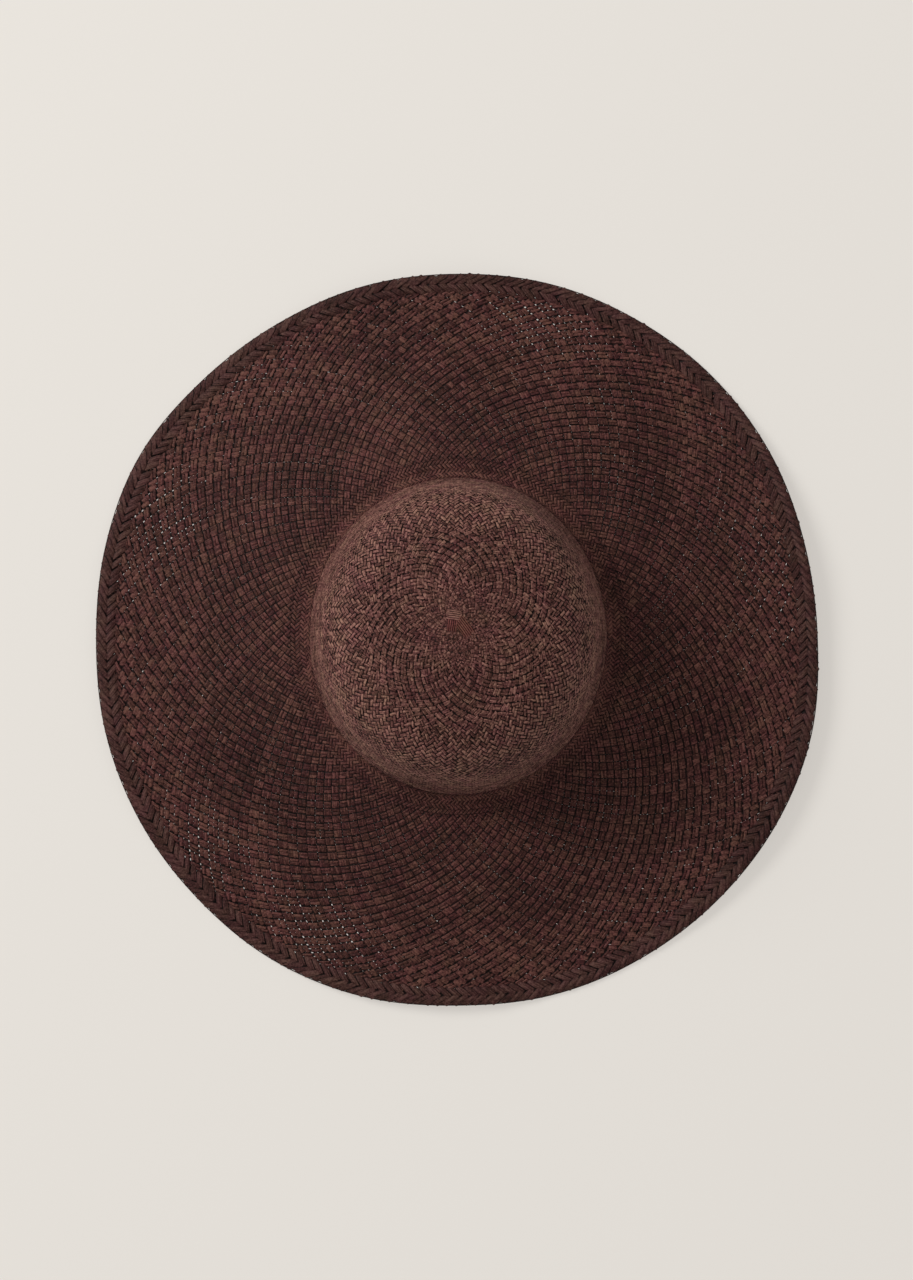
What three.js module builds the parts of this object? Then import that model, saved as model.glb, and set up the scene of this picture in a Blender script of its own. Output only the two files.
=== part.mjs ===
// A wide-brimmed sun hat woven in dark brown straw, lying on its brim as it would by itself.
// Millimetres, +Z up, +Y towards the back of the head. The origin is on the surface that the hat
// lies on, under the middle of the box around it.
//
// The hat is turned as a plain round one first, from the profiles below, and each turned piece
// then takes the oval of the head, the leaning tip and the waves of the brim.
import * as THREE from "three";

// Driving sizes, in millimetres
const BRIM_SPREAD = 450; // across the whole hat, over the edge braid
const CROWN_LENGTH = 192; // outside the crown's foot, front to back, along Y
const CROWN_WIDTH = 180; // outside the crown's foot, ear to ear, along X
const CROWN_HEIGHT = 100; // from the brim at the crown's foot up to the top
const BRIM_RISE = 26; // upper face of the brim at the crown's foot, above the surface
const FOOT_FILLET = 8; // the turn between the crown's side and the brim
const STRAW_WALL = 2; // the weave: two crossing layers of straw
const BRAID_WIDTH = 10; // the plaited edge, seen from above
const BRAID_THICKNESS = 3.4; // the plaited edge, top to bottom
const EDGE_LIFT = 14; // the highest wave of the edge above the surface
const CROWN_SHIFT = 2.6; // middle of the crown's foot behind the middle of the brim
const TIP_SHIFT = 7; // the weave's starting point behind the middle of the crown's foot
const GAP = 0.3; // between pieces that meet

// How finely the round shapes are divided
const SEGMENTS = 72;
const CROWN_STEPS = 12;
const FILLET_STEPS = 3;
const BRIM_STEPS = 7;

// Outside of the crown, from the top down to the fillet.
// out: share of half the crown's length. up: share of the height between the fillet and the top.
const CROWN_PROFILE = [
  { out: 0, up: 1 },
  { out: 0.25, up: 0.983 },
  { out: 0.5, up: 0.935 },
  { out: 0.66, up: 0.875 },
  { out: 0.78, up: 0.783 },
  { out: 0.86, up: 0.652 },
  { out: 0.915, up: 0.457 },
  { out: 0.955, up: 0.22 },
  { out: 1, up: 0 },
];

// Upper face of the brim, from the fillet out to the braid.
// out: share of the way out. up: share of the fall from the crown's foot to the braid.
const BRIM_PROFILE = [
  { out: 0, up: 1 },
  { out: 0.25, up: 0.7 },
  { out: 0.5, up: 0.41 },
  { out: 0.75, up: 0.16 },
  { out: 1, up: 0 },
];

// Section of the edge braid. across: share of its width, outwards. up: share of its thickness.
const BRAID_SECTION = [
  { across: 0, up: 0.5 },
  { across: 0.18, up: 0 },
  { across: 0.82, up: 0 },
  { across: 1, up: 0.5 },
  { across: 0.82, up: 1 },
  { across: 0.18, up: 1 },
];

// The brim's edge all the way round. turn: degrees from +X towards +Y.
// reach: share of half the spread. lift: share of the highest wave.
// The edge lies flat on the surface wherever the lift is 0.
const EDGE_WAVES = [
  { turn: 0, reach: 0.977, lift: 0.85 },
  { turn: 15, reach: 0.976, lift: 1 },
  { turn: 30, reach: 0.991, lift: 0.55 },
  { turn: 45, reach: 1.002, lift: 0 },
  { turn: 60, reach: 1.004, lift: 0 },
  { turn: 75, reach: 1.005, lift: 0.25 },
  { turn: 90, reach: 0.998, lift: 0.6 },
  { turn: 105, reach: 0.999, lift: 0.5 },
  { turn: 120, reach: 0.996, lift: 0.15 },
  { turn: 135, reach: 0.998, lift: 0 },
  { turn: 150, reach: 1.007, lift: 0 },
  { turn: 165, reach: 0.997, lift: 0.2 },
  { turn: 180, reach: 0.987, lift: 0.4 },
  { turn: 195, reach: 0.994, lift: 0.35 },
  { turn: 210, reach: 1, lift: 0.1 },
  { turn: 225, reach: 1.003, lift: 0 },
  { turn: 240, reach: 1.01, lift: 0 },
  { turn: 255, reach: 1.006, lift: 0.25 },
  { turn: 270, reach: 0.995, lift: 0.4 },
  { turn: 285, reach: 1.003, lift: 0 },
  { turn: 300, reach: 1.003, lift: 0 },
  { turn: 315, reach: 1.001, lift: 0.35 },
  { turn: 330, reach: 0.999, lift: 0.75 },
  { turn: 345, reach: 0.994, lift: 0.8 },
];

// How the waves and the leaning tip fade across the hat
const WAVE_FADE = 1.8; // power of the way out, so a wave dies away towards the crown
const TIP_FADE = 2; // power of the way in, so only the top of the crown leans

// Places worked out from the sizes
const FOOT_RADIUS = CROWN_LENGTH / 2;
const EDGE_RADIUS = BRIM_SPREAD / 2;
const BRAID_RADIUS = EDGE_RADIUS - BRAID_WIDTH;
const FILLET_TOP = BRIM_RISE + FOOT_FILLET;
const BRIM_SEAT = (BRAID_THICKNESS + STRAW_WALL) / 2;

// A value of EDGE_WAVES at any angle, on a smooth closed curve through the rows
function around(column, turn) {
  const count = EDGE_WAVES.length;
  const along = ((turn / (2 * Math.PI)) * count + count) % count;
  const row = Math.floor(along);
  const t = along - row;
  const [a, b, c, d] = [-1, 0, 1, 2].map((k) => EDGE_WAVES[(row + k + count) % count][column]);
  const bend = 2 * a - 5 * b + 4 * c - d + t * (3 * (b - c) + d - a);
  return b + 0.5 * t * (c - a + t * bend);
}

// Gives a turned piece the oval of the head, the leaning tip, the outline and the waves
function shapeLikeTheHat(geometry) {
  const place = geometry.attributes.position;
  const point = new THREE.Vector3();
  for (let i = 0; i < place.count; i += 1) {
    point.fromBufferAttribute(place, i);
    const radius = Math.hypot(point.x, point.y);
    const turn = Math.atan2(point.y, point.x);
    const out = THREE.MathUtils.clamp((radius - FOOT_RADIUS) / (EDGE_RADIUS - FOOT_RADIUS), 0, 1);
    const inward = THREE.MathUtils.clamp(1 - radius / FOOT_RADIUS, 0, 1);
    const reach = THREE.MathUtils.lerp(1, around("reach", turn), out);
    const narrow = THREE.MathUtils.lerp(CROWN_WIDTH / CROWN_LENGTH, 1, out);
    const lean = CROWN_SHIFT * (1 - out) + TIP_SHIFT * (1 - (1 - inward) ** TIP_FADE);
    const lift = EDGE_LIFT * Math.max(0, around("lift", turn)) * out ** WAVE_FADE;
    place.setXYZ(i, point.x * narrow * reach, point.y * reach + lean, point.z + lift);
  }
  geometry.computeVertexNormals();
  return geometry;
}

// Turns a profile of (radius, height) points about the upright axis
function turned(profile, name, material) {
  const geometry = new THREE.LatheGeometry(profile, SEGMENTS);
  geometry.rotateX(Math.PI / 2);
  const mesh = new THREE.Mesh(shapeLikeTheHat(geometry), material);
  mesh.name = name;
  return mesh;
}

// The other side of a wall: each point of the outer line moved square to the line
function otherSide(line) {
  return line.map((point, i) => {
    const before = line[Math.max(i - 1, 0)];
    const after = line[Math.min(i + 1, line.length - 1)];
    const along = after.clone().sub(before).normalize();
    return new THREE.Vector2(point.x + along.y * STRAW_WALL, point.y - along.x * STRAW_WALL);
  });
}

// Woven crown: a domed top, a round shoulder and a side that widens slightly towards the head
function crown() {
  const rows = CROWN_PROFILE.map(({ out, up }) => {
    const height = THREE.MathUtils.lerp(FILLET_TOP, BRIM_RISE + CROWN_HEIGHT, up);
    return new THREE.Vector2(out * FOOT_RADIUS, height);
  });
  const outside = new THREE.SplineCurve(rows).getPoints(CROWN_STEPS);
  const inside = otherSide(outside);
  inside[0].set(0, outside[0].y - STRAW_WALL);
  inside[CROWN_STEPS].set(FOOT_RADIUS - STRAW_WALL, FILLET_TOP);
  const material = new THREE.MeshStandardMaterial({ color: "#5a3c35", roughness: 0.72, metalness: 0 });
  return turned([...inside, ...outside.reverse()], "crown", material);
}

// Woven brim: turns out of the crown's foot through the fillet and falls gently to the braid
function brim() {
  const upper = [];
  const filletMiddle = new THREE.Vector2(FOOT_RADIUS + FOOT_FILLET, FILLET_TOP);
  for (let i = 0; i < FILLET_STEPS; i += 1) {
    const turn = Math.PI + ((Math.PI / 2) * i) / FILLET_STEPS;
    const across = new THREE.Vector2(Math.cos(turn), Math.sin(turn)).multiplyScalar(FOOT_FILLET);
    upper.push(across.add(filletMiddle));
  }
  upper[0].y -= GAP;
  const fall = BRIM_PROFILE.map(({ out, up }) => {
    const radius = THREE.MathUtils.lerp(filletMiddle.x, BRAID_RADIUS - GAP, out);
    return new THREE.Vector2(radius, THREE.MathUtils.lerp(BRIM_SEAT, BRIM_RISE, up));
  });
  upper.push(...new THREE.SplineCurve(fall).getPoints(BRIM_STEPS));
  const lower = otherSide(upper);
  lower[0].set(FOOT_RADIUS - STRAW_WALL, upper[0].y);
  lower[lower.length - 1].set(BRAID_RADIUS - GAP, BRIM_SEAT - STRAW_WALL);
  const material = new THREE.MeshStandardMaterial({ color: "#482b27", roughness: 0.7, metalness: 0 });
  return turned([...lower, ...upper.reverse(), lower[0].clone()], "brim", material);
}

// Plaited edge: the straws woven back along the rim into a thicker flat cord
function edgeBraid() {
  const section = [...BRAID_SECTION, BRAID_SECTION[0]].map(
    ({ across, up }) => new THREE.Vector2(BRAID_RADIUS + across * BRAID_WIDTH, up * BRAID_THICKNESS),
  );
  const material = new THREE.MeshStandardMaterial({ color: "#42261f", roughness: 0.75, metalness: 0 });
  return turned(section, "edge_braid", material);
}

const hat = new THREE.Group();
hat.add(crown(), brim(), edgeBraid());

// The origin is under the middle of the hat's box
const box = new THREE.Box3().setFromObject(hat);
const middle = box.getCenter(new THREE.Vector3());
hat.position.set(-middle.x, -middle.y, -box.min.z);

export default hat;
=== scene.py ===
import math

import bmesh
import bpy
import numpy as np
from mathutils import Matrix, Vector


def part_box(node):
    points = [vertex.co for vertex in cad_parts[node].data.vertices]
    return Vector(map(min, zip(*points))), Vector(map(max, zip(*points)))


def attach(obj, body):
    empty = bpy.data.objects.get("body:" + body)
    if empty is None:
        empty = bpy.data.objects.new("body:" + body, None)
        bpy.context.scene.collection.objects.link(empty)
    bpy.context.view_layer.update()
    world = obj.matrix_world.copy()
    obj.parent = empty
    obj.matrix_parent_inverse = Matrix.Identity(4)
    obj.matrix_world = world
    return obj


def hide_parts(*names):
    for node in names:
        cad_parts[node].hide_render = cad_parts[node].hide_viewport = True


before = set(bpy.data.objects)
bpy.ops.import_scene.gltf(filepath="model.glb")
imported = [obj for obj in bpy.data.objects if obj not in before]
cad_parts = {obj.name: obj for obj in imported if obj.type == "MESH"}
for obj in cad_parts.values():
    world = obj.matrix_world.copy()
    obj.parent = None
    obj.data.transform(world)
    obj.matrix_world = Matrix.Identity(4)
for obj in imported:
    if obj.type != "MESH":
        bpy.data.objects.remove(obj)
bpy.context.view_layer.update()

# Crown top and side
# Two families of straws run out from the tip in opposite spirals and pass over and under each
# other, most of them two by two. The weaver lays in new straws as the round grows, with their
# ends tucked inside, so the straws stay about as wide from the tip to the crown's foot.
MM = 0.001
TURN = 2 * math.pi
CROWN_LENGTH = 192 * MM  # outside the crown's foot, front to back
CROWN_WIDTH = 180 * MM  # outside the crown's foot, ear to ear
CROWN_HEIGHT = 100 * MM  # from the brim at the crown's foot up to the top
BRIM_RISE = 26 * MM  # upper face of the brim at the crown's foot, above the surface
FOOT_FILLET = 8 * MM  # the turn between the crown's side and the brim
BRIM_SPREAD = 450 * MM  # across the whole hat
EDGE_LIFT = 14 * MM  # the highest wave of the edge above the surface
CROWN_SHIFT = 2.6 * MM  # middle of the crown's foot behind the middle of the brim
TIP_SHIFT = 7 * MM  # the weave's starting point behind the middle of the crown's foot
FOOT_RADIUS = CROWN_LENGTH / 2
EDGE_RADIUS = BRIM_SPREAD / 2
FILLET_TOP = BRIM_RISE + FOOT_FILLET

# Outside of the crown: share of half its length, share of the height above the fillet
CROWN_PROFILE = [
    (0, 1),
    (0.25, 0.983),
    (0.5, 0.935),
    (0.66, 0.875),
    (0.78, 0.783),
    (0.86, 0.652),
    (0.915, 0.457),
    (0.955, 0.22),
    (1, 0),
]

# The brim's edge every 15 degrees from +X towards +Y: share of half the spread that it
# reaches, share of the highest wave that it lifts
EDGE_WAVES = np.array(
    [
        (0.977, 0.85),
        (0.976, 1),
        (0.991, 0.55),
        (1.002, 0),
        (1.004, 0),
        (1.005, 0.25),
        (0.998, 0.6),
        (0.999, 0.5),
        (0.996, 0.15),
        (0.998, 0),
        (1.007, 0),
        (0.997, 0.2),
        (0.987, 0.4),
        (0.994, 0.35),
        (1, 0.1),
        (1.003, 0),
        (1.01, 0),
        (1.006, 0.25),
        (0.995, 0.4),
        (1.003, 0),
        (1.003, 0),
        (1.001, 0.35),
        (0.999, 0.75),
        (0.994, 0.8),
    ]
)
REACH, LIFT = 0, 1
WAVE_FADE = 1.8  # power of the way out, so a wave dies away towards the crown
TIP_FADE = 2  # power of the way in, so only the top of the crown leans
PAST_EDGE = 1.1  # how far out the brim's shape goes on, where 1 is its edge

WEAVE_DEPTH = 0.75 * MM  # from the outside of the wall to the middle of the weave
STRAW_THICKNESS = 0.5 * MM
CLOCKWISE, COUNTER = -1, 1  # the two families, seen from above on their way out
FAMILIES = {CLOCKWISE: "clockwise", COUNTER: "counter"}

# Straws of one family round the crown, the radius at which that number starts, how wide they
# lie, and the way they pass each other
CROWN_ZONES = [
    {"straws": 18, "start": 2.4 * MM, "width": 1.7 * MM, "weave": "plain"},
    {"straws": 36, "start": 11.5 * MM, "width": 2.1 * MM, "weave": "plain"},
    {"straws": 72, "start": 22 * MM, "width": 2.0 * MM, "weave": "columns"},
    {"straws": 72, "start": 34 * MM, "width": 2.0 * MM, "weave": "pairs"},
    {"straws": 144, "start": 57.5 * MM, "width": 2.2 * MM, "weave": "columns"},
    {"straws": 144, "start": 80 * MM, "width": 2.2 * MM, "weave": "rings"},
]
LEAST_SLANT = math.radians(14)  # between a straw and the straight way out
MOST_SLANT = math.radians(62)
SLANT_BLEND = 6 * MM  # the length over which new straws bring the others back
BLEND_SHARES = np.linspace(-0.15, 0.85, 30)  # of that length, most of it past the new straws
SPIRAL_START = 2 * MM  # nearer to the tip than this the spirals get no tighter

# Each of these is a list of distances from the middle in mm and a list of values there
CROWN_RIPPLE = ([20, 60, 85, 92, 95], [0.33, 0.42, 0.55, 0.5, 0.3])  # up and down, in mm
CROWN_LOOSE = ([5, 20, 60], [0.12, 0.28, 0.22])  # how far a straw wanders, in mm
CROWN_FILL = {  # the share of its room that a straw takes
    CLOCKWISE: ([12, 34, 52, 60, 84], [0.99, 1, 1, 0.96, 1]),
    COUNTER: ([12, 34, 52, 60, 84], [0.99, 0.87, 0.87, 0.96, 1]),
}
CROWN_RIM_SHADE = {  # how dark the painted shade on the rims of a straw is, from 0 to 1
    CLOCKWISE: ([10, 26, 36, 54, 66], [0.3, 0.25, 0.15, 0.15, 0.65]),
    COUNTER: ([10, 26, 36, 54, 66], [0.3, 0.45, 0.8, 0.8, 0.65]),
}
CROWN_CREVICE_SHADE = (  # how strong the painted shade in the crevices is, from 0 to 1
    [8, 20, 34, 46, 60, 88],
    [0.5, 0.6, 0.84, 0.9, 0.85, 0.75],
)
CROWN_DYE_AND_SHADE = (  # how much paler, or darker below 0: darker on the top and at the foot, paler on the side; partly the dye's own depth, partly painted shade and light for how the light falls
    [6, 28, 34, 48, 58, 70, 86, 92],
    [-0.33, -0.38, -0.44, -0.42, -0.24, 0.05, 0.1, -0.14],
)
CROWN_SUNK = 0.9  # how wide a straw is under another one, where it is squeezed

TAIL_LEVEL = -2.2  # how deep a new straw starts, where -1 is under one other straw

# Shares of the way from one crossing to the next
DIVE_SHARE = 0.2  # how far past a crossing a straw stays level before it dives
TAIL_SHARE = 2.4  # how far before its first crossing a new straw starts
FIRST_TAIL = 0.2  # how near to the tip the first ones start
CROSSING_JITTER = 0.04  # how far a crossing lies from its even place

# How hand-laid straws differ from each other and along their way
STRAW_SIZES = (0.94, 1.04)
STRAW_SWELLS = (0.96, 1.04)
ROLL_JITTER = 0.12  # radians about its own length
DRIFT_LENGTHS = (19 * MM, 60 * MM)

# Where the weave goes in pairs, the two straws of a pair lie side by side
PAIR_ROOM = 0.03 * MM  # how dark the painted shade on their rims is there
PAIR_RIM_SHADE = 0.2  # how deep their rims lie there

# Corners of a straw's section: shares of half its width and half its thickness
STRAW_SECTION = np.array([(-1, 0), (-0.62, 1), (0.62, 1), (1, 0), (0.62, -1), (-0.62, -1)])
LEFT_RIM, RIGHT_RIM = 0, 3
UPPER, LOWER = [1, 2], [4, 5]
CREASE = math.radians(44)  # faces that meet at more than this keep a crisp corner

chance = np.random.default_rng(57)
crown_low, crown_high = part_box("crown")
FOOT_MIDDLE_X = (crown_low.x + crown_high.x) / 2
FOOT_MIDDLE_Y = (crown_low.y + crown_high.y) / 2


def smooth_between(a, b, c, d, t):
    """The value at share t of the way from b to c, on a smooth curve from a to d."""
    bend = 2 * a - 5 * b + 4 * c - d + t * (3 * (b - c) + d - a)
    return b + 0.5 * t * (c - a + t * bend)


def edge_wave(column, turn):
    """A column of EDGE_WAVES at any angle, on a smooth closed curve through its rows."""
    count = len(EDGE_WAVES)
    along = (turn / TURN * count) % count
    row = np.floor(along).astype(int)
    near = [EDGE_WAVES[(row + k) % count, column] for k in (-1, 0, 1, 2)]
    return smooth_between(*near, along - row)


def hat_place(radius, turn, height):
    """Gives a point of the plain round hat the head's oval, the leaning tip and the waves."""
    out = np.clip((radius - FOOT_RADIUS) / (EDGE_RADIUS - FOOT_RADIUS), 0, PAST_EDGE)
    inward = np.clip(1 - radius / FOOT_RADIUS, 0, 1)
    reach = 1 + out * (edge_wave(REACH, turn) - 1)
    narrow = CROWN_WIDTH / CROWN_LENGTH + out * (1 - CROWN_WIDTH / CROWN_LENGTH)
    lean = TIP_SHIFT * (1 - (1 - inward) ** TIP_FADE) - CROWN_SHIFT * out
    lift = EDGE_LIFT * np.maximum(0, edge_wave(LIFT, turn)) * out**WAVE_FADE
    x = radius * np.cos(turn) * narrow * reach + FOOT_MIDDLE_X
    y = radius * np.sin(turn) * reach + lean + FOOT_MIDDLE_Y
    return np.stack([x, y, height + lift], axis=-1)


def smooth_line(points, steps):
    """Many points on the smooth curve that passes through a few."""
    points = np.array(points, float)
    padded = np.vstack([points[:1], points, points[-1:]])
    line = [
        smooth_between(*padded[row : row + 4], t)
        for row in range(len(points) - 1)
        for t in np.arange(steps) / steps
    ]
    return np.array([*line, points[-1]])


def weave_line(outside):
    """The middle of the weave under the wall's outside: its length so far, radius, height."""
    slope = np.gradient(outside, axis=0)
    slope /= np.linalg.norm(slope, axis=1)[:, None]
    inside = outside + WEAVE_DEPTH * np.stack([slope[:, 1], -slope[:, 0]], axis=1)
    inside[:, 0] = np.maximum(inside[:, 0], 0)
    steps = np.linalg.norm(np.diff(inside, axis=0), axis=1)
    return {
        "along": np.concatenate([[0], np.cumsum(steps)]),
        "radius": inside[:, 0],
        "height": inside[:, 1],
    }


def twist_along(line, slant):
    """How far a straw at that slant has turned round the hat at each point of the line."""
    rate = np.tan(slant) / np.maximum(line["radius"], SPIRAL_START)
    steps = np.diff(line["along"]) * (rate[1:] + rate[:-1]) / 2
    return np.concatenate([[0], np.cumsum(steps)])


def on_line(line, along, turn):
    """Points on the hat that far along the line, at those angles."""
    radius = np.interp(along, line["along"], line["radius"])
    height = np.interp(along, line["along"], line["height"])
    return hat_place(radius, turn, height)


def unit(vectors):
    """Vectors of length 1 that point the same way."""
    return vectors / np.linalg.norm(vectors, axis=-1, keepdims=True)


def clockwise_over(weave, clockwise, counter):
    """Whether that clockwise straw lies over that counter straw."""
    if weave == "plain":
        return (clockwise + counter) % 2 == 0
    if weave == "columns":
        return (clockwise + counter) % 4 < 2
    if weave == "rings":
        return (clockwise - counter) % 4 < 2
    return (clockwise // 2 + counter // 2) % 2 == 0


def level_at(weave, family, own, crossing):
    """1 where a straw lies over the one that it meets there, -1 where it lies under it. own is
    its number in its family, crossing the number of the crossing on its way out."""
    other = own - crossing if family == CLOCKWISE else own + crossing
    pair = (own, other) if family == CLOCKWISE else (other, own)
    return np.where(clockwise_over(weave, *pair) == (family == CLOCKWISE), 1, -1)


def straw_frames(line, family, shares, along):
    """Where straws of a family run: their points, ways along, across and out of the weave,
    and how far apart one full turn of straws would have them."""
    small = 0.2 * MM
    small_turn = 0.001
    start = TURN * shares[:, None]
    turn = start + family * np.interp(along, line["along"], line["twist"][family])
    next_turn = start + family * np.interp(along + small, line["along"], line["twist"][family])
    point = on_line(line, along, turn)
    forward = unit(on_line(line, along + small, next_turn) - point)
    outward = on_line(line, along + small, turn) - point
    round_way = (on_line(line, along, turn + small_turn) - point) / small_turn
    face = unit(np.cross(outward, round_way))
    across = np.cross(face, forward)
    apart = np.abs(np.sum(round_way * across, axis=-1)) * TURN
    return {"point": point, "forward": forward, "across": across, "face": face, "apart": apart}


def wander(along):
    """Small slow sideways drift of hand-laid straws, from -1 to 1."""
    drift = np.zeros(along.shape)
    for length in DRIFT_LENGTHS:
        start = chance.uniform(0, TURN, (len(along), 1))
        drift += np.sin(TURN * along / length + start) / len(DRIFT_LENGTHS)
    return drift


def straw_skin(frames, half_width, half_thickness, sideways, rise, roll):
    """Corner points of closed straws, one section at each point of each straw."""
    middle = frames["point"] + frames["across"] * sideways[..., None]
    middle = middle + frames["face"] * rise[..., None]
    across = frames["across"] * np.cos(roll)[..., None] + frames["face"] * np.sin(roll)[..., None]
    face = np.cross(frames["forward"], across)
    wide = across[:, :, None, :] * (STRAW_SECTION[:, 0] * half_width[..., None])[..., None]
    thick = face[:, :, None, :] * (STRAW_SECTION[:, 1] * half_thickness[..., None])[..., None]
    return middle[:, :, None, :] + wide + thick


def crevices(level, rims):
    """How deep in the weave each corner of a straw lies, from 0 to 1, seen from its own side; the
    materials paint it as shade. level is 1 where the straw is on top and -1 where it is below;
    rims is the painted shade of the two rims."""
    depth = np.zeros((*level.shape, len(STRAW_SECTION)))
    depth[..., UPPER] = (0.5 - level / 2)[..., None]
    depth[..., LOWER] = (0.5 + level / 2)[..., None]
    depth[..., LEFT_RIM], depth[..., RIGHT_RIM] = rims
    return np.clip(depth, 0, 1)


def join_straws(name, bundles, material, stands_for):
    """One piece out of bundles of straws: corner points, tint per straw, depth in the weave that
    the materials paint as shade.
    """
    corners = len(STRAW_SECTION)
    points, quads, lengths, sides, tints, depths = [], [], [], [], [], []
    total = 0
    for skin, tint, depth in bundles:
        count, sections = skin.shape[:2]
        index = total + np.arange(count * sections * corners).reshape(count, sections, corners)
        total += index.size
        here, ahead = index[:, :-1], index[:, 1:]
        walls = [here, ahead, np.roll(ahead, -1, axis=2), np.roll(here, -1, axis=2)]
        # Two faces close each end, split from rim to rim
        first, last = index[:, 0], index[:, -1]
        ends = [first[:, [0, 1, 2, 3]], first[:, [0, 3, 4, 5]]]
        ends += [last[:, [3, 2, 1, 0]], last[:, [5, 4, 3, 0]]]
        quads += [np.stack(walls, axis=-1).reshape(-1, 4), *ends]
        steps = np.linalg.norm(np.diff(skin.mean(axis=2), axis=1), axis=-1)
        length = np.concatenate([np.zeros((count, 1)), np.cumsum(steps, axis=1)], axis=1)
        width = np.linalg.norm(skin[:, :, RIGHT_RIM] - skin[:, :, LEFT_RIM], axis=-1)
        points.append(skin.reshape(-1, 3))
        lengths.append(np.repeat(length[..., None], corners, axis=2).ravel())
        sides.append((width[..., None] * STRAW_SECTION[:, 0] / 2).ravel())
        tints.append(np.repeat(np.broadcast_to(tint, (count, sections)), corners))
        depths.append(depth.ravel())
    points, quads = np.concatenate(points), np.concatenate(quads)
    mesh = bpy.data.meshes.new(name)
    mesh.vertices.add(len(points))
    mesh.vertices.foreach_set("co", points.astype(np.float32).ravel())
    mesh.loops.add(quads.size)
    mesh.loops.foreach_set("vertex_index", quads.astype(np.int32).ravel())
    mesh.polygons.add(len(quads))
    mesh.polygons.foreach_set("loop_start", np.arange(0, quads.size, 4, dtype=np.int32))
    mesh.polygons.foreach_set("use_smooth", np.ones(len(quads), bool))
    mesh.update(calc_edges=True)
    mesh.set_sharp_from_angle(angle=CREASE)
    straw_map = np.stack([np.concatenate(lengths), np.concatenate(sides)], axis=1)
    layer = mesh.uv_layers.new(name="straw")
    layer.data.foreach_set("uv", straw_map[quads.ravel()].astype(np.float32).ravel())
    for word, values in (("tint", tints), ("crevice", depths)):
        layer = mesh.attributes.new(word, "FLOAT", "POINT")
        layer.data.foreach_set("value", np.concatenate(values).astype(np.float32))
    mesh.materials.append(material)
    piece = bpy.data.objects.new(name, mesh)
    bpy.context.scene.collection.objects.link(piece)
    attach(piece, "root")
    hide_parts(stands_for)


def linear(colour):
    """A colour written as sRGB hex, turned to linear red, green, blue and alpha."""
    parts = [int(colour[i : i + 2], 16) / 255 for i in (1, 3, 5)]
    return [p / 12.92 if p < 0.04045 else ((p + 0.055) / 1.055) ** 2.4 for p in parts] + [1]


def add_node(material, kind, inputs, **settings):
    """Adds a node: its settings, and for each input a value or the output that feeds it."""
    made = material.node_tree.nodes.new(kind)
    for name, value in settings.items():
        setattr(made, name, value)
    for name, value in inputs.items():
        if isinstance(value, bpy.types.NodeSocket):
            material.node_tree.links.new(value, made.inputs[name])
        else:
            made.inputs[name].default_value = value
    return made


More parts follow.
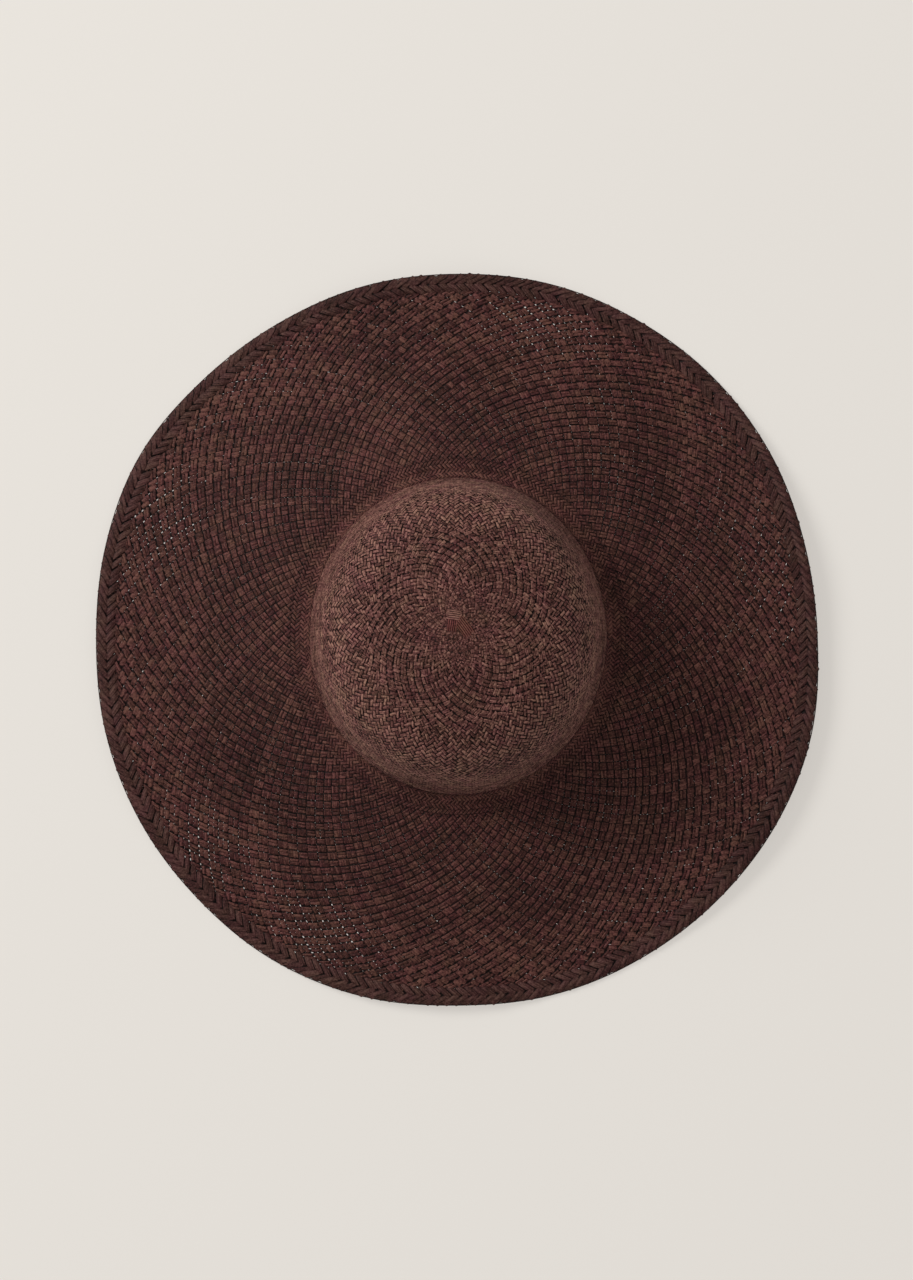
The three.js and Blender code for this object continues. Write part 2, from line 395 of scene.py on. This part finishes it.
def dyed_straw(name, deepest, dark, middle, light, sheen):
    """Palm straw: leaf split by hand into flat strips, then dyed brown in a hot bath. It is dull
    along its fibres, each straw has its own depth of dye with painted light and shade along the
    crown and brim, and the crevices of the weave are painted nearly black as shade."""
    material = bpy.data.materials.new(name)
    material.use_nodes = True
    tree = material.node_tree
    shader = tree.nodes["Principled BSDF"]
    straw_map = add_node(material, "ShaderNodeUVMap", {}, uv_map="straw")
    tint = add_node(material, "ShaderNodeAttribute", {}, attribute_name="tint")
    crevice = add_node(material, "ShaderNodeAttribute", {}, attribute_name="crevice")

    # Fibres run along the straw. Real ones are half as wide, too fine to show
    fibres_across = 1 / (0.6 * MM)
    fibres_along = 1 / (7 * MM)
    stretch = add_node(
        material,
        "ShaderNodeMapping",
        {"Vector": straw_map.outputs["UV"], "Scale": (fibres_along, fibres_across, 1)},
    )
    fibres = add_node(
        material,
        "ShaderNodeTexNoise",
        {"Vector": stretch.outputs["Vector"], "W": tint.outputs["Fac"], "Scale": 1, "Detail": 2},
        noise_dimensions="4D",
    )

    # Patches where the bath took deeper, flecks where the leaf's skin wore off, and slow
    # changes of hue
    where = add_node(material, "ShaderNodeTexCoord", {})
    patches, flecks, hues = (
        add_node(
            material,
            "ShaderNodeTexNoise",
            {"Vector": where.outputs["Object"], "Scale": 1 / size, "Detail": detail},
        )
        for size, detail in ((45 * MM, 3), (1.1 * MM, 1), (9 * MM, 2))
    )
    # Painted shade: how deep a point lies in the weave, which darkens the dye
    sunk = add_node(
        material,
        "ShaderNodeMapRange",
        {"Value": crevice.outputs["Fac"], "From Min": 0.14, "From Max": 0.48},
        interpolation_type="SMOOTHSTEP",
    )

    # Each of these makes the shade lighter, or darker where its weight is below 0; the last one is
    # painted shade in the crevices of the weave
    shade = -0.88
    for part, weight in (
        (tint.outputs["Fac"], 0.26),
        (flecks.outputs["Fac"], 1),
        (fibres.outputs["Fac"], 1.3),
        (patches.outputs["Fac"], 0.3),
        (sunk.outputs["Result"], -0.75),
    ):
        sum_so_far = add_node(
            material,
            "ShaderNodeMath",
            {0: part, 1: weight, 2: shade},
            operation="MULTIPLY_ADD",
        )
        shade = sum_so_far.outputs["Value"]
    ramp = add_node(material, "ShaderNodeValToRGB", {"Fac": shade})
    stops = ramp.color_ramp.elements
    stops[0].color = linear(deepest)
    stops[1].position = 0.85
    stops[1].color = linear(light)
    stops.new(0.25).color = linear(dark)
    stops.new(0.5).color = linear(middle)
    hue = add_node(
        material,
        "ShaderNodeMapRange",
        {"Value": hues.outputs["Fac"], "From Min": 0.25, "From Max": 0.75}
        | {"To Min": 0.485, "To Max": 0.515},
    )
    dyed = add_node(
        material,
        "ShaderNodeHueSaturation",
        {"Hue": hue.outputs["Result"], "Color": ramp.outputs["Color"]},
    )
    gloss = add_node(
        material,
        "ShaderNodeMapRange",
        {"Value": fibres.outputs["Fac"], "To Min": 0.55, "To Max": 0.77},
    )
    bump = add_node(
        material,
        "ShaderNodeBump",
        {"Height": fibres.outputs["Fac"], "Strength": 0.5, "Distance": 0.12 * MM},
    )
    tree.links.new(dyed.outputs["Color"], shader.inputs["Base Color"])
    tree.links.new(gloss.outputs["Result"], shader.inputs["Roughness"])
    tree.links.new(bump.outputs["Normal"], shader.inputs["Normal"])
    shader.inputs["Specular IOR Level"].default_value = 0.15
    shader.inputs["Sheen Weight"].default_value = sheen
    return material


def lay_straws(line, zones, family, shares, first_zone):
    """A bundle of straws that start in a zone and run on to the end of the line."""
    crossing = line["twist"][CLOCKWISE] + line["twist"][COUNTER]
    starts = [
        np.interp(np.interp(zone["start"], line["radius"], line["along"]), line["along"], crossing)
        for zone in zones
    ]
    starts.append(crossing[-1] - 0.5 * TURN / zones[-1]["straws"])
    places, levels, counts, members = [], [], [], []
    for z in range(first_zone, len(zones)):
        weave, straws = zones[z]["weave"], zones[z]["straws"]
        pace = TURN / straws
        number = np.arange(math.ceil(starts[z] / pace), math.ceil(starts[z + 1] / pace))
        own = np.round(shares * straws).astype(int)[:, None]
        here = level_at(weave, family, own, number)
        dives_after = here != level_at(weave, family, own, number + 1)
        dives_before = here != level_at(weave, family, own, number - 1)
        places.append((number + DIVE_SHARE * (dives_after * 1.0 - dives_before)) * pace)
        levels.append(here)
        counts.append(np.full(len(number), straws))
        member = np.where(own % 2 == 0, -1, 1) * (weave == "pairs")
        members.append(np.broadcast_to(member, here.shape))
    place, level, member = np.hstack(places), np.hstack(levels), np.hstack(members)
    count = np.concatenate(counts)
    place = place + chance.normal(0, CROSSING_JITTER, place.shape) * TURN / count

    # The tucked end of each straw, under the others
    pace = TURN / count[0]
    tail = np.maximum(place[:, :1] - TAIL_SHARE * pace, FIRST_TAIL * pace)
    place = np.hstack([tail, place])
    level = np.hstack([np.full((len(shares), 1), TAIL_LEVEL), level])
    member = np.hstack([member[:, :1], member])
    count = np.concatenate([count[:1], count])

    along = np.interp(place, crossing, line["along"])
    frames = straw_frames(line, family, shares, along)
    pitch = frames["apart"] / count
    size = chance.uniform(*STRAW_SIZES, (len(shares), 1))
    size = size * chance.uniform(*STRAW_SWELLS, pitch.shape)
    radius = np.interp(along, line["along"], line["radius"]) / MM
    turn = np.degrees(np.arctan2(frames["point"][..., 1], frames["point"][..., 0]))
    slack = np.interp(turn, *line["slack"][family], period=360)
    slack = slack * np.interp(radius, *line["slack_from"])
    width = pitch * (np.interp(radius, *line["fill"][family]) - slack) * size
    room = np.maximum(0, pitch / 2 - width / 2 - PAIR_ROOM)
    width = width * np.where(level < 0, line["sunk_width"][family], 1)
    sideways = wander(along) * np.interp(radius, *line["loose"][family]) * MM - member * room
    half_thickness = np.full(width.shape, STRAW_THICKNESS / 2)
    rise = level * np.interp(radius, *line["ripple"]) * MM
    roll = chance.normal(0, ROLL_JITTER, width.shape)
    skin = straw_skin(frames, width / 2, half_thickness, sideways, rise, roll)
    # Painted shade on the rims and on the parts that lie under other straws
    rim_shade = np.interp(radius, *line["rim_shade"][family])
    rims = [np.where(member == side, PAIR_RIM_SHADE, rim_shade) for side in (1, -1)]
    depth = crevices(level, rims) * np.interp(radius, *line["crisp"])[..., None]
    # Each straw's own depth of dye, plus the painted light and shade that change with the distance
    # from the middle
    tint = chance.uniform(0, 1, (len(shares), 1)) + np.interp(radius, *line["pale"])
    return skin, tint, depth


crown_outside = smooth_line(
    [
        (out * FOOT_RADIUS, FILLET_TOP + up * (BRIM_RISE + CROWN_HEIGHT - FILLET_TOP))
        for out, up in CROWN_PROFILE
    ],
    steps=40,
)
# The straws run on inside the turn of the brim, where the brim's straws cover their ends
under_brim = [
    (FOOT_RADIUS - 0.3 * MM, FILLET_TOP - 2 * MM),
    (FOOT_RADIUS - 0.4 * MM, FILLET_TOP - 4 * MM),
]
crown_line = weave_line(np.vstack([crown_outside, under_brim]))

# The straws lie at the slant at which they fill their ring of the crown
zone_at = np.searchsorted([zone["start"] for zone in CROWN_ZONES], crown_line["radius"]) - 1
zone_at = np.maximum(zone_at, 0)
straws_at = np.array([zone["straws"] for zone in CROWN_ZONES])[zone_at]
width_at = np.array([zone["width"] for zone in CROWN_ZONES])[zone_at]
filled = straws_at * width_at / (TURN * np.maximum(crown_line["radius"], MM))
crown_slant = np.arccos(np.clip(filled, math.cos(MOST_SLANT), math.cos(LEAST_SLANT)))
blend_at = crown_line["along"][:, None] - BLEND_SHARES * SLANT_BLEND
crown_slant = np.interp(blend_at, crown_line["along"], crown_slant).mean(axis=1)
crown_line |= {
    "twist": dict.fromkeys(FAMILIES, twist_along(crown_line, crown_slant)),
    "ripple": CROWN_RIPPLE,
    "loose": dict.fromkeys(FAMILIES, CROWN_LOOSE),
    "fill": CROWN_FILL,
    "slack": dict.fromkeys(FAMILIES, ([0], [0])),
    "slack_from": ([0], [0]),
    "sunk_width": dict.fromkeys(FAMILIES, CROWN_SUNK),
    "rim_shade": CROWN_RIM_SHADE,
    "crisp": CROWN_CREVICE_SHADE,
    "pale": CROWN_DYE_AND_SHADE,
}

# Palm straw of the crown: smooth strips of leaf, split by hand and dyed. A matte warm brown, the
# palest large part of the hat, with a faint glow of fine fibres where light grazes it
crown_finish = dyed_straw(
    "matte_brown_crown_straw", "#120605", "#41221e", "#643f3a", "#987062", sheen=0.02
)
most_straws = CROWN_ZONES[-1]["straws"]
for family, word in FAMILIES.items():
    bundles = []
    laid = set()
    for first_zone, zone in enumerate(CROWN_ZONES):
        places = set(range(0, most_straws, most_straws // zone["straws"])) - laid
        laid |= places
        if places:
            shares = np.array(sorted(places)) / most_straws
            bundles.append(lay_straws(crown_line, CROWN_ZONES, family, shares, first_zone))
    join_straws(f"crown_straws_{word}", bundles, crown_finish, "crown")

# Brim
# The crown's straws turn out at its foot, where many more are laid in: a close ring of single
# straws over two and under two, and past it the open brim, where the straws go in pairs, over
# one pair and under one. The two families lie at different slants.
BRAID_WIDTH = 10 * MM
BRAID_THICKNESS = 3.4 * MM
STRAW_WALL = 2 * MM
BRAID_RADIUS = EDGE_RADIUS - BRAID_WIDTH
BRIM_SEAT = (BRAID_THICKNESS + STRAW_WALL) / 2
BRIM_STRAWS = 240
BRIM_ZONES = [
    {"straws": BRIM_STRAWS, "start": FOOT_RADIUS, "weave": "rings"},
    {"straws": BRIM_STRAWS, "start": 109 * MM, "weave": "pairs"},
]

# The clockwise straws lie as ribs with a groove beside each pair; the counter ones lie close.
# As for the crown, each list of distances in mm has a list of values
BRIM_RIPPLE = ([96, 150], [0.32, 0.38])
BRIM_LOOSE = {
    CLOCKWISE: ([109, 150, 210], [0.1, 0.12, 0.18]),
    COUNTER: ([109, 150, 210], [0.1, 0.14, 0.24]),
}
BRIM_FILL = {
    CLOCKWISE: ([109, 150], [0.96, 0.83]),
    COUNTER: ([109, 150, 190], [0.98, 1.05, 1.08]),
}
# How dark the painted shade on the rims of a straw is, from 0 to 1
BRIM_RIM_SHADE = {
    CLOCKWISE: ([109], [1]),
    COUNTER: ([109, 150], [1, 0.35]),
}
# How strong the painted shade in the crevices is, from 0 to 1, weaker at the crown's foot
BRIM_CREVICE_SHADE = ([97, 106, 116, 150, 200], [0.4, 0.6, 0.9, 1, 0.85])
# How much paler, or darker below 0: painted light near the crown's foot, which lifts the shade
# there, then darker from 130 to 150 mm and back to its own tone near the edge
BRIM_LIGHT_AND_TONE = ([98, 105, 130, 150, 170, 190, 205], [0.2, 0, -0.18, -0.18, -0.12, 0, 0.04])
BRIM_SUNK = {CLOCKWISE: 0.92, COUNTER: 1}

# The open brim is slack in a few places, where light shows through rows of small holes: how
# much less of their room the straws take there, by degrees from +X
BRIM_SLACK = {
    CLOCKWISE: ([0], [0]),
    COUNTER: (
        [0, 13, 30, 62, 76, 90, 118, 131, 144, 158, 172, 208, 219, 232, 246, 262],
        [0.03, 0.09, 0, 0, 0.17, 0, 0, 0.07, 0, 0.16, 0.02, 0.02, 0.16, 0.04, 0.18, 0],
    ),
}
SLACK_FROM = ([172, 188], [0, 1])  # distance in mm, share of the slack

# Upper face of the brim: share of the way out from the fillet to the braid, share of the fall
BRIM_PROFILE = [(0, 1), (0.25, 0.7), (0.5, 0.41), (0.75, 0.16), (1, 0)]

# Slant from the straight way out, in degrees: distance in mm, clockwise straws, counter straws
BRIM_SLANTS = np.array(
    [
        (96, 42, 42),
        (107, 43, 41),
        (123, 46, 41),
        (141, 53, 41),
        (163, 58, 45),
        (184, 60, 51),
        (203, 64, 57),
        (215, 66, 60),
    ]
)

# The line of the brim starts inside the crown's foot and ends inside the braid, so the ends of
# its straws are hidden
inside_crown = [(FOOT_RADIUS - 1.2 * MM, FILLET_TOP + 7 * MM)]
foot_turn = [
    (FOOT_RADIUS + FOOT_FILLET * (1 - math.cos(bend)), FILLET_TOP - FOOT_FILLET * math.sin(bend))
    for bend in np.linspace(0, math.pi / 2, 25)[:-1]
]
fall_start = FOOT_RADIUS + FOOT_FILLET
fall = smooth_line(
    [
        (fall_start + out * (BRAID_RADIUS - fall_start), BRIM_SEAT + up * (BRIM_RISE - BRIM_SEAT))
        for out, up in BRIM_PROFILE
    ],
    steps=60,
)
inside_braid = [(BRAID_RADIUS + 4 * MM, BRIM_SEAT - 0.1 * MM)]
brim_line = weave_line(np.vstack([inside_crown, foot_turn, fall, inside_braid]))
brim_line |= {
    "twist": {
        family: twist_along(
            brim_line,
            np.radians(np.interp(brim_line["radius"] / MM, BRIM_SLANTS[:, 0], slants)),
        )
        for family, slants in ((CLOCKWISE, BRIM_SLANTS[:, 1]), (COUNTER, BRIM_SLANTS[:, 2]))
    },
    "ripple": BRIM_RIPPLE,
    "loose": BRIM_LOOSE,
    "fill": BRIM_FILL,
    "slack": BRIM_SLACK,
    "slack_from": SLACK_FROM,
    "sunk_width": BRIM_SUNK,
    "rim_shade": BRIM_RIM_SHADE,
    "crisp": BRIM_CREVICE_SHADE,
    "pale": BRIM_LIGHT_AND_TONE,
}

# Palm straw of the brim: the same strips, coloured a darker brown than the crown's.
# A dull dark brown with hardly any glow
brim_finish = dyed_straw(
    "dull_dark_brown_brim_straw", "#0f0504", "#2f1513", "#442522", "#6e473f", sheen=0.01
)
for family, word in FAMILIES.items():
    for half, side in ((0, "back"), (1, "front")):
        shares = (np.arange(BRIM_STRAWS // 2) / BRIM_STRAWS) + half / 2
        bundle = lay_straws(brim_line, BRIM_ZONES, family, shares, 0)
        join_straws(f"brim_straws_{word}_{side}", [bundle], brim_finish, "brim")

# Edge braid
# The ends of the brim's straws are bent back and plaited along the edge into a flat cord. From
# above it shows a row of chevrons, and its outer arms wrap round the edge to the underside.
BRAID_STITCHES = 240
BRAID_LEAN = 1.35  # how much farther along the edge an arm runs than the rows below give
ARM_WIDTH = 3.7 * MM
ARM_THICKNESS = 0.6 * MM
ARM_RIM_SHADE = 0.5  # how dark the painted shade on the rims of an arm is, from 0 to 1

# How hand-plaited arms differ
LEAN_JITTER = 0.4 * MM
LAY_JITTER = 0.12 * MM
ARM_ROLL = 0.04  # radians
ARM_SIZES = (0.88, 1.08)

# The way of one arm, in mm: how far clockwise along the edge, how far out from the braid's
# inner side, how high, the way that its face looks in degrees from straight up, and its width
# as a share of ARM_WIDTH
OUTER_ARM = [
    (14.2, 0.4, 1.2, 180, 1),
    (10.8, 4.2, 0.85, 180, 1.1),
    (8.0, 7.4, 0.95, 170, 1.2),
    (7.0, 8.9, 1.3, 120, 1.35),
    (6.7, 9.1, 2.0, 60, 1.35),
    (5.7, 8.4, 2.8, 20, 1.2),
    (3.7, 6.9, 3.1, 0, 1.1),
    (1.7, 5.2, 3.0, -5, 1),
    (0.1, 3.9, 2.5, -20, 0.9),
    (-1.4, 2.3, 1.5, -20, 0.8),
]
INNER_ARM = [
    (-1.5, 5.6, 1.5, 20, 0.8),
    (0.1, 4.0, 2.45, 20, 0.9),
    (1.5, 2.6, 2.95, 5, 1),
    (3.0, 1.0, 3.0, 0, 1),
    (4.3, -0.4, 2.7, -15, 0.95),
    (5.6, -1.8, 1.9, -20, 0.8),
]

# At which rows an arm lies over the others, as 1, or under them, as -1
OUTER_OVER = ([0, 1, 7.5, 9], [-1, 1, 1, -0.5])
INNER_OVER = ([0, 1], [-1, 1])


def facing(point, face):
    """Where straws run through points, with their faces looking that way."""
    forward = unit(np.gradient(point, axis=1))
    across = unit(np.cross(face, forward))
    face = np.cross(forward, across)
    return {"point": point, "forward": forward, "across": across, "face": face}


def braid_frames(radius, turn, height, tilt):
    """Where straws of the braid run, from how far out, round and up they lie, and the way
    that their faces look, as an angle from straight up towards the outside."""
    small = 0.2 * MM
    point = hat_place(radius, turn, height)
    outward = unit(hat_place(radius + small, turn, height) - point)
    upward = np.array([0, 0, 1])
    return facing(point, outward * np.sin(tilt)[..., None] + upward * np.cos(tilt)[..., None])


def braid_arms(rows, over):
    """A bundle with one arm of every stitch round the edge, on the way that the rows give."""
    line = smooth_line(rows, steps=2)
    shape = (BRAID_STITCHES, len(line))
    run, out, up, tilt, share = (np.broadcast_to(line[:, column], shape) for column in range(5))
    run = run * BRAID_LEAN * MM + chance.normal(0, LEAN_JITTER, (BRAID_STITCHES, 1))
    radius = BRAID_RADIUS + out * MM + chance.normal(0, LAY_JITTER, (BRAID_STITCHES, 1))
    height = up * MM + chance.normal(0, LAY_JITTER, (BRAID_STITCHES, 1))
    turn = TURN * np.arange(BRAID_STITCHES)[:, None] / BRAID_STITCHES - run / EDGE_RADIUS
    frames = braid_frames(radius, turn, height, np.radians(tilt))
    half_width = share * ARM_WIDTH / 2 * chance.uniform(*ARM_SIZES, (BRAID_STITCHES, 1))
    half_thickness = np.full(shape, ARM_THICKNESS / 2)
    still = np.zeros(shape)
    roll = chance.normal(0, ARM_ROLL, shape)
    skin = straw_skin(frames, half_width, half_thickness, still, still, roll)
    skin[..., 2] = np.maximum(skin[..., 2], 0)  # pressed flat by the surface
    level = np.broadcast_to(np.interp(np.arange(shape[1]) / 2, *over), shape)
    # Painted shade on the rims and where an arm lies under the others
    rims = [np.full(shape, ARM_RIM_SHADE)] * 2
    return skin, chance.uniform(0, 1, (BRAID_STITCHES, 1)), crevices(level, rims)


# Palm straw of the braid: the same strips, wetted, bent over sharply and pressed. The fibres
# break at the bends and soak up dye, so it is a dull, nearly even dark brown
braid_finish = dyed_straw(
    "dull_dark_brown_braid_straw", "#110605", "#301815", "#422724", "#5e413b", sheen=0.01
)
outer_arms = braid_arms(OUTER_ARM, OUTER_OVER)
inner_arms = braid_arms(INNER_ARM, INNER_OVER)
join_straws("edge_braid_outer_arms", [outer_arms], braid_finish, "edge_braid")
join_straws("edge_braid_inner_arms", [inner_arms], braid_finish, "edge_braid")

# Under the arms the bent straws run on round the edge, and the last one lies outside them as a
# smooth rim. Each row: how far out from the braid's inner side, how high, half the width, all in
# mm, and the way that its face looks in degrees
EDGE_CORE = np.array(
    [
        (1.6, 1.7, 1.5, -8),
        (4.4, 1.9, 1.5, 0),
        (7, 1.8, 1.4, 8),
        (8.7, 1.6, 0.75, 50),
        (9.75, 1.5, 0.8, 78),
    ]
)
CORE_SECTIONS = 721
core_shape = (len(EDGE_CORE), CORE_SECTIONS)
core_turn = np.broadcast_to(np.linspace(0, TURN, CORE_SECTIONS), core_shape)
core_out, core_up, core_half, core_tilt = (
    np.broadcast_to(EDGE_CORE[:, column, None], core_shape) for column in range(4)
)
core_frames = braid_frames(
    BRAID_RADIUS + core_out * MM, core_turn, core_up * MM, np.radians(core_tilt)
)
core_still = np.zeros(core_shape)
core_half_thick = np.full(core_shape, STRAW_THICKNESS / 2)
core_skin = straw_skin(
    core_frames, core_half * MM, core_half_thick, core_still, core_still, core_still
)
core_tint = chance.uniform(0, 0.5, (len(EDGE_CORE), 1))
# The core's faces get painted shade all along, as it lies under the arms
core = (core_skin, core_tint, crevices(core_still, [core_still, core_still]))
join_straws("edge_braid_core", [core], braid_finish, "edge_braid")

# Start knot
# The first straws of the hat, where the weaver began at the tip of the crown: a few laid side
# by side across, and a few more bound down at right angles below them.
KNOT_STRAW = 1.1 * MM
KNOT_PITCH = 1.06  # from straw to straw, as a share of their width
KNOT_ARCH = 0.95 * MM  # how high they stand above the weave in their middle
KNOT_DIP = 1.2 * MM  # how much lower their ends are
KNOT_RISE_JITTER = 0.05 * MM
KNOT_ROLL = 0.08  # radians


def knot_straws(middle, lean, length, count):
    """A bundle of short straws side by side on the crown's tip. lean is the angle from +X."""
    along = np.linspace(-0.5, 0.5, 6)
    beside = (np.arange(count) - (count - 1) / 2) * KNOT_STRAW * KNOT_PITCH
    way = np.array([math.cos(lean), math.sin(lean)])
    side = np.array([-way[1], way[0]])
    seen = along[None, :, None] * length * way + beside[:, None, None] * side + middle
    tip = hat_place(np.zeros(1), np.zeros(1), np.zeros(1))[0, :2]
    radius = np.linalg.norm(seen, axis=-1)
    top = np.interp(radius, crown_line["radius"], crown_line["height"])
    frames = facing(np.concatenate([seen + tip, top[..., None]], axis=-1), np.array([0, 0, 1]))
    shape = radius.shape
    arch = KNOT_ARCH - KNOT_DIP * (2 * np.abs(along)) ** 3
    rise = np.broadcast_to(arch, shape) + chance.normal(0, KNOT_RISE_JITTER, (count, 1))
    half_width = np.full(shape, KNOT_STRAW / 2)
    half_thickness = np.full(shape, STRAW_THICKNESS / 2)
    roll = chance.normal(0, KNOT_ROLL, shape)
    skin = straw_skin(frames, half_width, half_thickness, np.zeros(shape), rise, roll)
    # Painted shade on the rims and undersides of the knot's straws
    rims = [np.ones(shape)] * 2
    return skin, chance.uniform(0.2, 1, (count, 1)), crevices(np.ones(shape), rims)


# Palm straw of the knot: smooth strips from the pale heart of the leaf, which take less dye.
# The lightest brown on the hat, with some glow on the strips that stand up
knot_finish = dyed_straw(
    "pale_brown_knot_straw", "#1e0d09", "#53312a", "#775048", "#92695d", sheen=0.05
)
# Palm straw of the bound strips: the same heart of the leaf, left longer in the dye, so a
# redder and deeper brown
bound_finish = dyed_straw(
    "red_brown_knot_straw", "#1c0a08", "#43211c", "#623630", "#7a4a42", sheen=0.05
)
across_knot = knot_straws(np.array([-2.6, 5.2]) * MM, math.radians(-8), 9 * MM, 5)
down_knot = knot_straws(np.array([-3.4, -0.6]) * MM, math.radians(82), 9 * MM, 5)
side_knot = knot_straws(np.array([3.2, -1.6]) * MM, math.radians(-54), 14 * MM, 6)
join_straws("start_knot", [across_knot], knot_finish, "crown")
join_straws("start_knot_bound", [side_knot, down_knot], bound_finish, "crown")

# Floor, light and camera
# A plain white table whose top glows a little as painted light, dark under the crown and full from
# under the brim outwards, with one large soft window of light from the upper left and the even
# light of a pale room. The camera looks straight down, as in the photo.
FLOOR_COLOUR = "#979591"
FLOOR_GLOW = "#dfdad4"
GLOW_FROM, GLOW_FULL = 0.11, 0.15  # metres out; the hat's crown stays dark inside
WORLD_COLOUR = "#fbf8f4"
floor_mesh = bpy.data.meshes.new("floor")
sheet = bmesh.new()
bmesh.ops.create_grid(sheet, x_segments=1, y_segments=1, size=20)
sheet.to_mesh(floor_mesh)
sheet.free()
floor = bpy.data.objects.new("floor", floor_mesh)
bpy.context.scene.collection.objects.link(floor)

# Matte white acrylic sheet, cast and sanded: no gloss. Its glow is painted light, an emission that
# starts
# 0.11 m out, so the holes of the brim show bright and the shadows round the hat are faint
floor_paint = bpy.data.materials.new("matte_pale_floor")
floor_paint.use_nodes = True
floor_shader = floor_paint.node_tree.nodes["Principled BSDF"]
floor_shader.inputs["Base Color"].default_value = linear(FLOOR_COLOUR)
floor_shader.inputs["Roughness"].default_value = 0.9
floor_shader.inputs["Emission Color"].default_value = linear(FLOOR_GLOW)
floor_place = add_node(floor_paint, "ShaderNodeTexCoord", {})
floor_away = add_node(
    floor_paint,
    "ShaderNodeVectorMath",
    {0: floor_place.outputs["Object"]},
    operation="LENGTH",
)
floor_glow = add_node(
    floor_paint,
    "ShaderNodeMapRange",
    {"Value": floor_away.outputs["Value"], "From Min": GLOW_FROM, "From Max": GLOW_FULL}
    | {"To Max": 0.68},
)
floor_links = floor_paint.node_tree.links
floor_links.new(floor_glow.outputs["Result"], floor_shader.inputs["Emission Strength"])
floor_mesh.materials.append(floor_paint)

sky = bpy.data.worlds.new("soft_studio_light")
sky.use_nodes = True
sky.node_tree.nodes["Background"].inputs["Color"].default_value = linear(WORLD_COLOUR)
sky.node_tree.nodes["Background"].inputs["Strength"].default_value = 0.47
bpy.context.scene.world = sky
bpy.context.scene.view_settings.view_transform = "Standard"

KEY_TURN = math.radians(147)  # from +X
KEY_RISE = math.radians(40)  # above the surface
KEY_AWAY = 3.6
key = bpy.data.lights.new("window", "AREA")
key.shape = "DISK"
key.size = 1.8
key.energy = 86
key.color = (1, 0.985, 0.965)
key_light = bpy.data.objects.new("window", key)
key_light.location = (
    KEY_AWAY * math.cos(KEY_RISE) * math.cos(KEY_TURN),
    KEY_AWAY * math.cos(KEY_RISE) * math.sin(KEY_TURN),
    KEY_AWAY * math.sin(KEY_RISE),
)
key_light.rotation_euler = (-key_light.location).to_track_quat("-Z", "Y").to_euler()
bpy.context.scene.collection.objects.link(key_light)

# The photo's 1280 pixels from top to bottom span 788 mm of the surface
LENS = 85
SENSOR = 36
VIEW_LENGTH = 0.788
camera = bpy.data.cameras.new("camera")
camera.lens = LENS
camera.sensor_width = SENSOR
camera_object = bpy.data.objects.new("camera", camera)
camera_object.location = (0, 0, VIEW_LENGTH * LENS / SENSOR)
bpy.context.scene.collection.objects.link(camera_object)
bpy.context.scene.camera = camera_object
